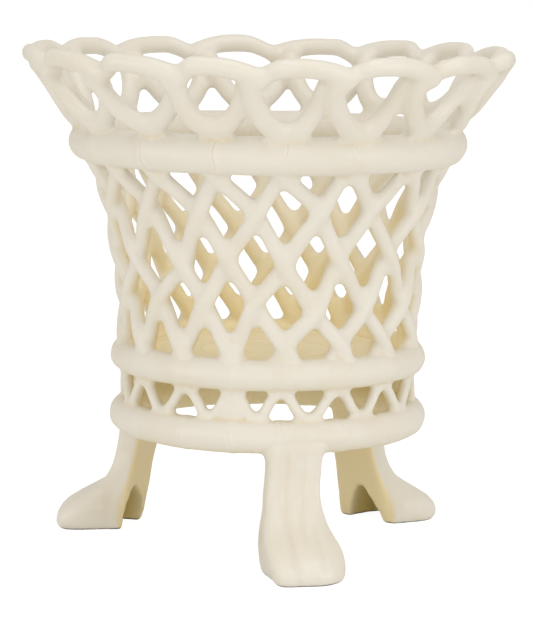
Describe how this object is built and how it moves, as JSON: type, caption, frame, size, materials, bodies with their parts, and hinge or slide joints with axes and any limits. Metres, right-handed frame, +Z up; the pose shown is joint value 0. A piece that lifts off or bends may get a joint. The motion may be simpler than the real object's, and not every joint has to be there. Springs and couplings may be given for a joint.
{
  "type": "footed planter",
  "caption": "Footed planter with an openwork wall of woven clay coils, a scalloped rim and hollow paw feet",
  "frame": {"origin": "on the axis of the pot, on the ground under its feet", "axes": "+Z up along the axis, -Y towards the front, where one paw foot stands about 11 degrees to +X"},
  "size_m": [0.2451, 0.2467, 0.2514],
  "materials": {
    "wall_glaze": "cream glaze on the lattice, gallery and arcade coils, softly glossy",
    "band_glaze": "cream glaze on the bands and the base ring, softly glossy",
    "rim_glaze": "cream glaze on the rim, softly glossy",
    "floor_glaze": "warmer glaze pooled on the floor, softly glossy",
    "leg_glaze": "cream glaze on the legs, bare clay at the sole, softly glossy"
  },
  "bodies": {
    "root": {"base_ring": "band_glaze", "lower_band": "band_glaze", "upper_band": "band_glaze", "arcade_coil": "wall_glaze", "floor_plate": "floor_glaze", "rim_coil": "rim_glaze", "lattice_strand_right_01": "wall_glaze", "lattice_strand_right_02": "wall_glaze", "lattice_strand_right_03": "wall_glaze", "lattice_strand_right_04": "wall_glaze", "lattice_strand_right_05": "wall_glaze", "lattice_strand_right_06": "wall_glaze", "lattice_strand_right_07": "wall_glaze", "lattice_strand_right_08": "wall_glaze", "lattice_strand_right_09": "wall_glaze", "lattice_strand_right_10": "wall_glaze", "lattice_strand_right_11": "wall_glaze", "lattice_strand_right_12": "wall_glaze", "lattice_strand_right_13": "wall_glaze", "lattice_strand_right_14": "wall_glaze", "lattice_strand_right_15": "wall_glaze", "lattice_strand_right_16": "wall_glaze", "lattice_strand_left_01": "wall_glaze", "lattice_strand_left_02": "wall_glaze", "lattice_strand_left_03": "wall_glaze", "lattice_strand_left_04": "wall_glaze", "lattice_strand_left_05": "wall_glaze", "lattice_strand_left_06": "wall_glaze", "lattice_strand_left_07": "wall_glaze", "lattice_strand_left_08": "wall_glaze", "lattice_strand_left_09": "wall_glaze", "lattice_strand_left_10": "wall_glaze", "lattice_strand_left_11": "wall_glaze", "lattice_strand_left_12": "wall_glaze", "lattice_strand_left_13": "wall_glaze", "lattice_strand_left_14": "wall_glaze", "lattice_strand_left_15": "wall_glaze", "lattice_strand_left_16": "wall_glaze", "gallery_loop_01": "wall_glaze", "gallery_loop_02": "wall_glaze", "gallery_loop_03": "wall_glaze", "gallery_loop_04": "wall_glaze", "gallery_loop_05": "wall_glaze", "gallery_loop_06": "wall_glaze", "gallery_loop_07": "wall_glaze", "gallery_loop_08": "wall_glaze", "gallery_loop_09": "wall_glaze", "gallery_loop_10": "wall_glaze", "gallery_loop_11": "wall_glaze", "gallery_loop_12": "wall_glaze", "gallery_loop_13": "wall_glaze", "gallery_loop_14": "wall_glaze", "gallery_loop_15": "wall_glaze", "gallery_loop_16": "wall_glaze", "leg_front": "leg_glaze", "leg_right": "leg_glaze", "leg_left": "leg_glaze"}
  },
  "joints": []
}
